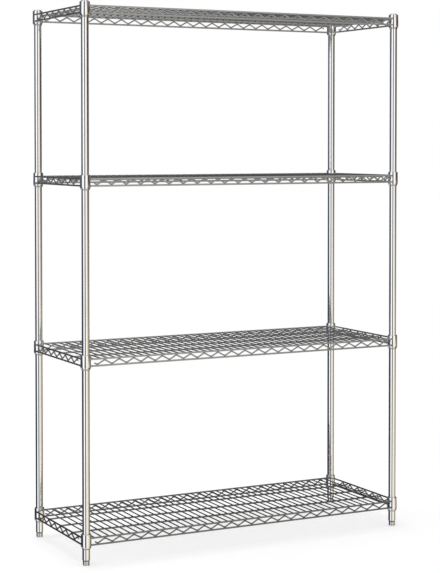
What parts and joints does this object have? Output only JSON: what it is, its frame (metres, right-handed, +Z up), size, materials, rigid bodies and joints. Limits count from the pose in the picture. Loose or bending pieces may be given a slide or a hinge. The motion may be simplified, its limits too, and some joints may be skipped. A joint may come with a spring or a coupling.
{
  "type": "wire shelving unit",
  "caption": "Free-standing chrome wire shelving unit: grooved round posts on levelling feet carry lift-off wire shelves on tapered split sleeves, for storing goods.",
  "frame": {"origin": "on the floor, at the centre of the rectangle of the four feet", "axes": "+X along the front edge to the right as seen from the front, +Y to the back, +Z up"},
  "size_m": [1.22, 0.46, 1.8353],
  "materials": {
    "post_tube": "bright chrome plate",
    "shelf_wire": "bright chrome plate",
    "collar_metal": "bright chrome plate",
    "cap_plastic": "gloss",
    "sleeve_plastic": "gloss",
    "insert_plastic": "matt",
    "stem_steel": "zinc plate",
    "foot_metal": "bright plate"
  },
  "bodies": {
    "root": {"front_left_post": "post_tube", "front_left_post_cap": "cap_plastic", "front_left_threaded_insert": "insert_plastic", "front_right_post": "post_tube", "front_right_post_cap": "cap_plastic", "front_right_threaded_insert": "insert_plastic", "back_left_post": "post_tube", "back_left_post_cap": "cap_plastic", "back_left_threaded_insert": "insert_plastic", "back_right_post": "post_tube", "back_right_post_cap": "cap_plastic", "back_right_threaded_insert": "insert_plastic", "bottom_shelf_left_sleeves": "sleeve_plastic", "bottom_shelf_right_sleeves": "sleeve_plastic", "lower_middle_shelf_left_sleeves": "sleeve_plastic", "lower_middle_shelf_right_sleeves": "sleeve_plastic", "upper_middle_shelf_left_sleeves": "sleeve_plastic", "upper_middle_shelf_right_sleeves": "sleeve_plastic", "top_shelf_left_sleeves": "sleeve_plastic", "top_shelf_right_sleeves": "sleeve_plastic"},
    "bottom_shelf": {"bottom_shelf_front_truss": "shelf_wire", "bottom_shelf_back_truss": "shelf_wire", "bottom_shelf_left_truss": "shelf_wire", "bottom_shelf_right_truss": "shelf_wire", "bottom_shelf_deck_wires": "shelf_wire", "bottom_shelf_stringers": "shelf_wire", "bottom_shelf_collars": "collar_metal"},
    "lower_middle_shelf": {"lower_middle_shelf_front_truss": "shelf_wire", "lower_middle_shelf_back_truss": "shelf_wire", "lower_middle_shelf_left_truss": "shelf_wire", "lower_middle_shelf_right_truss": "shelf_wire", "lower_middle_shelf_deck_wires": "shelf_wire", "lower_middle_shelf_stringers": "shelf_wire", "lower_middle_shelf_collars": "collar_metal"},
    "upper_middle_shelf": {"upper_middle_shelf_front_truss": "shelf_wire", "upper_middle_shelf_back_truss": "shelf_wire", "upper_middle_shelf_left_truss": "shelf_wire", "upper_middle_shelf_right_truss": "shelf_wire", "upper_middle_shelf_deck_wires": "shelf_wire", "upper_middle_shelf_stringers": "shelf_wire", "upper_middle_shelf_collars": "collar_metal"},
    "top_shelf": {"top_shelf_front_truss": "shelf_wire", "top_shelf_back_truss": "shelf_wire", "top_shelf_left_truss": "shelf_wire", "top_shelf_right_truss": "shelf_wire", "top_shelf_deck_wires": "shelf_wire", "top_shelf_stringers": "shelf_wire", "top_shelf_collars": "collar_metal"},
    "front_left_stem": {"front_left_levelling_stem": "stem_steel"},
    "front_left_foot": {"front_left_levelling_foot": "foot_metal"},
    "front_right_stem": {"front_right_levelling_stem": "stem_steel"},
    "front_right_foot": {"front_right_levelling_foot": "foot_metal"},
    "back_left_stem": {"back_left_levelling_stem": "stem_steel"},
    "back_left_foot": {"back_left_levelling_foot": "foot_metal"},
    "back_right_stem": {"back_right_levelling_stem": "stem_steel"},
    "back_right_foot": {"back_right_levelling_foot": "foot_metal"}
  },
  "joints": [
    {"name": "bottom_shelf_lift", "type": "slide", "parent": "root", "child": "bottom_shelf", "axis": [0, 0, 1], "range_m": [0, 0.5332]},
    {"name": "lower_middle_shelf_lift", "type": "slide", "parent": "root", "child": "lower_middle_shelf", "axis": [0, 0, 1], "range_m": [0, 0.5332]},
    {"name": "upper_middle_shelf_lift", "type": "slide", "parent": "root", "child": "upper_middle_shelf", "axis": [0, 0, 1], "range_m": [0, 0.5078]},
    {"name": "top_shelf_lift", "type": "slide", "parent": "root", "child": "top_shelf", "axis": [0, 0, 1], "range_m": [0, 0.07]},
    {"name": "front_left_foot_extend", "type": "slide", "parent": "root", "child": "front_left_stem", "axis": [0, 0, -1], "range_m": [0, 0.0127]},
    {"name": "front_left_foot_turn", "type": "hinge", "parent": "front_left_stem", "child": "front_left_foot", "pos_m": [-0.5925, -0.2125, 0.008], "axis": [0, 0, -1], "range_deg": [0, 2881]},
    {"name": "front_right_foot_extend", "type": "slide", "parent": "root", "child": "front_right_stem", "axis": [0, 0, -1], "range_m": [0, 0.0127]},
    {"name": "front_right_foot_turn", "type": "hinge", "parent": "front_right_stem", "child": "front_right_foot", "pos_m": [0.5925, -0.2125, 0.008], "axis": [0, 0, -1], "range_deg": [0, 2881]},
    {"name": "back_left_foot_extend", "type": "slide", "parent": "root", "child": "back_left_stem", "axis": [0, 0, -1], "range_m": [0, 0.0127]},
    {"name": "back_left_foot_turn", "type": "hinge", "parent": "back_left_stem", "child": "back_left_foot", "pos_m": [-0.5925, 0.2125, 0.008], "axis": [0, 0, -1], "range_deg": [0, 2881]},
    {"name": "back_right_foot_extend", "type": "slide", "parent": "root", "child": "back_right_stem", "axis": [0, 0, -1], "range_m": [0, 0.0127]},
    {"name": "back_right_foot_turn", "type": "hinge", "parent": "back_right_stem", "child": "back_right_foot", "pos_m": [0.5925, 0.2125, 0.008], "axis": [0, 0, -1], "range_deg": [0, 2881]}
  ],
  "couplings": [
    {"joint": "front_left_foot_turn", "follows": "front_left_foot_extend", "rad_per_m": 3957.9},
    {"joint": "front_right_foot_turn", "follows": "front_right_foot_extend", "rad_per_m": 3957.9},
    {"joint": "back_left_foot_turn", "follows": "back_left_foot_extend", "rad_per_m": 3957.9},
    {"joint": "back_right_foot_turn", "follows": "back_right_foot_extend", "rad_per_m": 3957.9}
  ]
}
